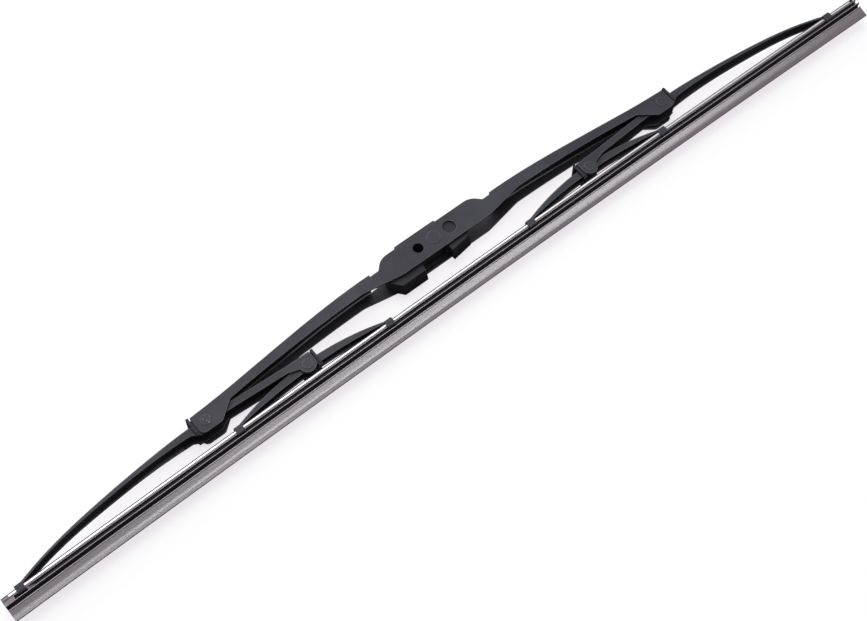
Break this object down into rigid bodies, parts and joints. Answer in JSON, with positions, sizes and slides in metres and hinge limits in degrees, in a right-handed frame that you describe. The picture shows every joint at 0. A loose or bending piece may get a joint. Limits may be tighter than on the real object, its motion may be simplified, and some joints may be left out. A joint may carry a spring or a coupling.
{
  "type": "framed wiper blade",
  "caption": "Black framed wiper blade with a riveted steel lever linkage, spring strips and a grey rubber squeegee, lying on its side.",
  "frame": {"origin": "middle of the arm pin, halfway across the main bridge", "axes": "+X along the blade towards the rubber's open end, +Y from the rubber towards the crown, +Z along the arm pin, up as the blade lies"},
  "size_m": [0.4572, 0.0364, 0.0144],
  "materials": {
    "black_paint": "satin",
    "rubber": "satin",
    "spring_steel": "bright",
    "black_plastic": "matte"
  },
  "bodies": {
    "main": {"main_bridge": "black_paint", "arm_pin": "black_paint", "left_bridge_rivet": "black_paint", "right_bridge_rivet": "black_paint", "left_bridge_liner": "black_plastic", "right_bridge_liner": "black_plastic"},
    "adaptor": {"arm_adaptor": "black_plastic"},
    "left_lever": {"left_bridge": "black_paint", "left_yoke_rivet": "black_paint", "left_yoke_liner": "black_plastic"},
    "right_lever": {"right_bridge": "black_paint", "right_yoke_rivet": "black_paint", "right_yoke_liner": "black_plastic"},
    "left_rocker": {"left_yoke": "black_paint"},
    "right_rocker": {"right_yoke": "black_paint"},
    "squeegee": {"wiper_rubber": "rubber", "near_strip": "spring_steel", "far_strip": "spring_steel"}
  },
  "joints": [
    {"name": "left_bridge_rock", "type": "hinge", "parent": "main", "child": "left_lever", "pos_m": [-0.1224, -0.0084, 0], "axis": [0, 0, 1], "range_deg": [-1.5, 4], "stiffness_Nm_per_rad": 1, "deforming": ["wiper_rubber", "near_strip", "far_strip"]},
    {"name": "right_bridge_rock", "type": "hinge", "parent": "main", "child": "right_lever", "pos_m": [0.1224, -0.0084, 0], "axis": [0, 0, 1], "range_deg": [-4, 1.5]},
    {"name": "left_yoke_rock", "type": "hinge", "parent": "left_lever", "child": "left_rocker", "pos_m": [-0.076, -0.0132, 0], "axis": [0, 0, 1], "range_deg": [-1.84, 0.69]},
    {"name": "right_yoke_rock", "type": "hinge", "parent": "right_lever", "child": "right_rocker", "pos_m": [0.076, -0.0132, 0], "axis": [0, 0, 1], "range_deg": [-0.69, 1.84]},
    {"name": "squeegee_lift", "type": "slide", "parent": "main", "child": "squeegee", "axis": [0, 1, 0], "range_m": [-0.00175, 0.00466]},
    {"name": "adaptor_pivot", "type": "hinge", "parent": "main", "child": "adaptor", "pos_m": [0, 0, 0], "axis": [0, 0, 1], "range_deg": [-7, 7]}
  ],
  "couplings": [
    {"joint": "right_bridge_rock", "follows": "left_bridge_rock", "ratio": -1},
    {"joint": "left_yoke_rock", "follows": "left_bridge_rock", "ratio": -0.4597},
    {"joint": "right_yoke_rock", "follows": "left_bridge_rock", "ratio": 0.4597},
    {"joint": "squeegee_lift", "follows": "left_bridge_rock", "m_per_rad": 0.0668}
  ]
}
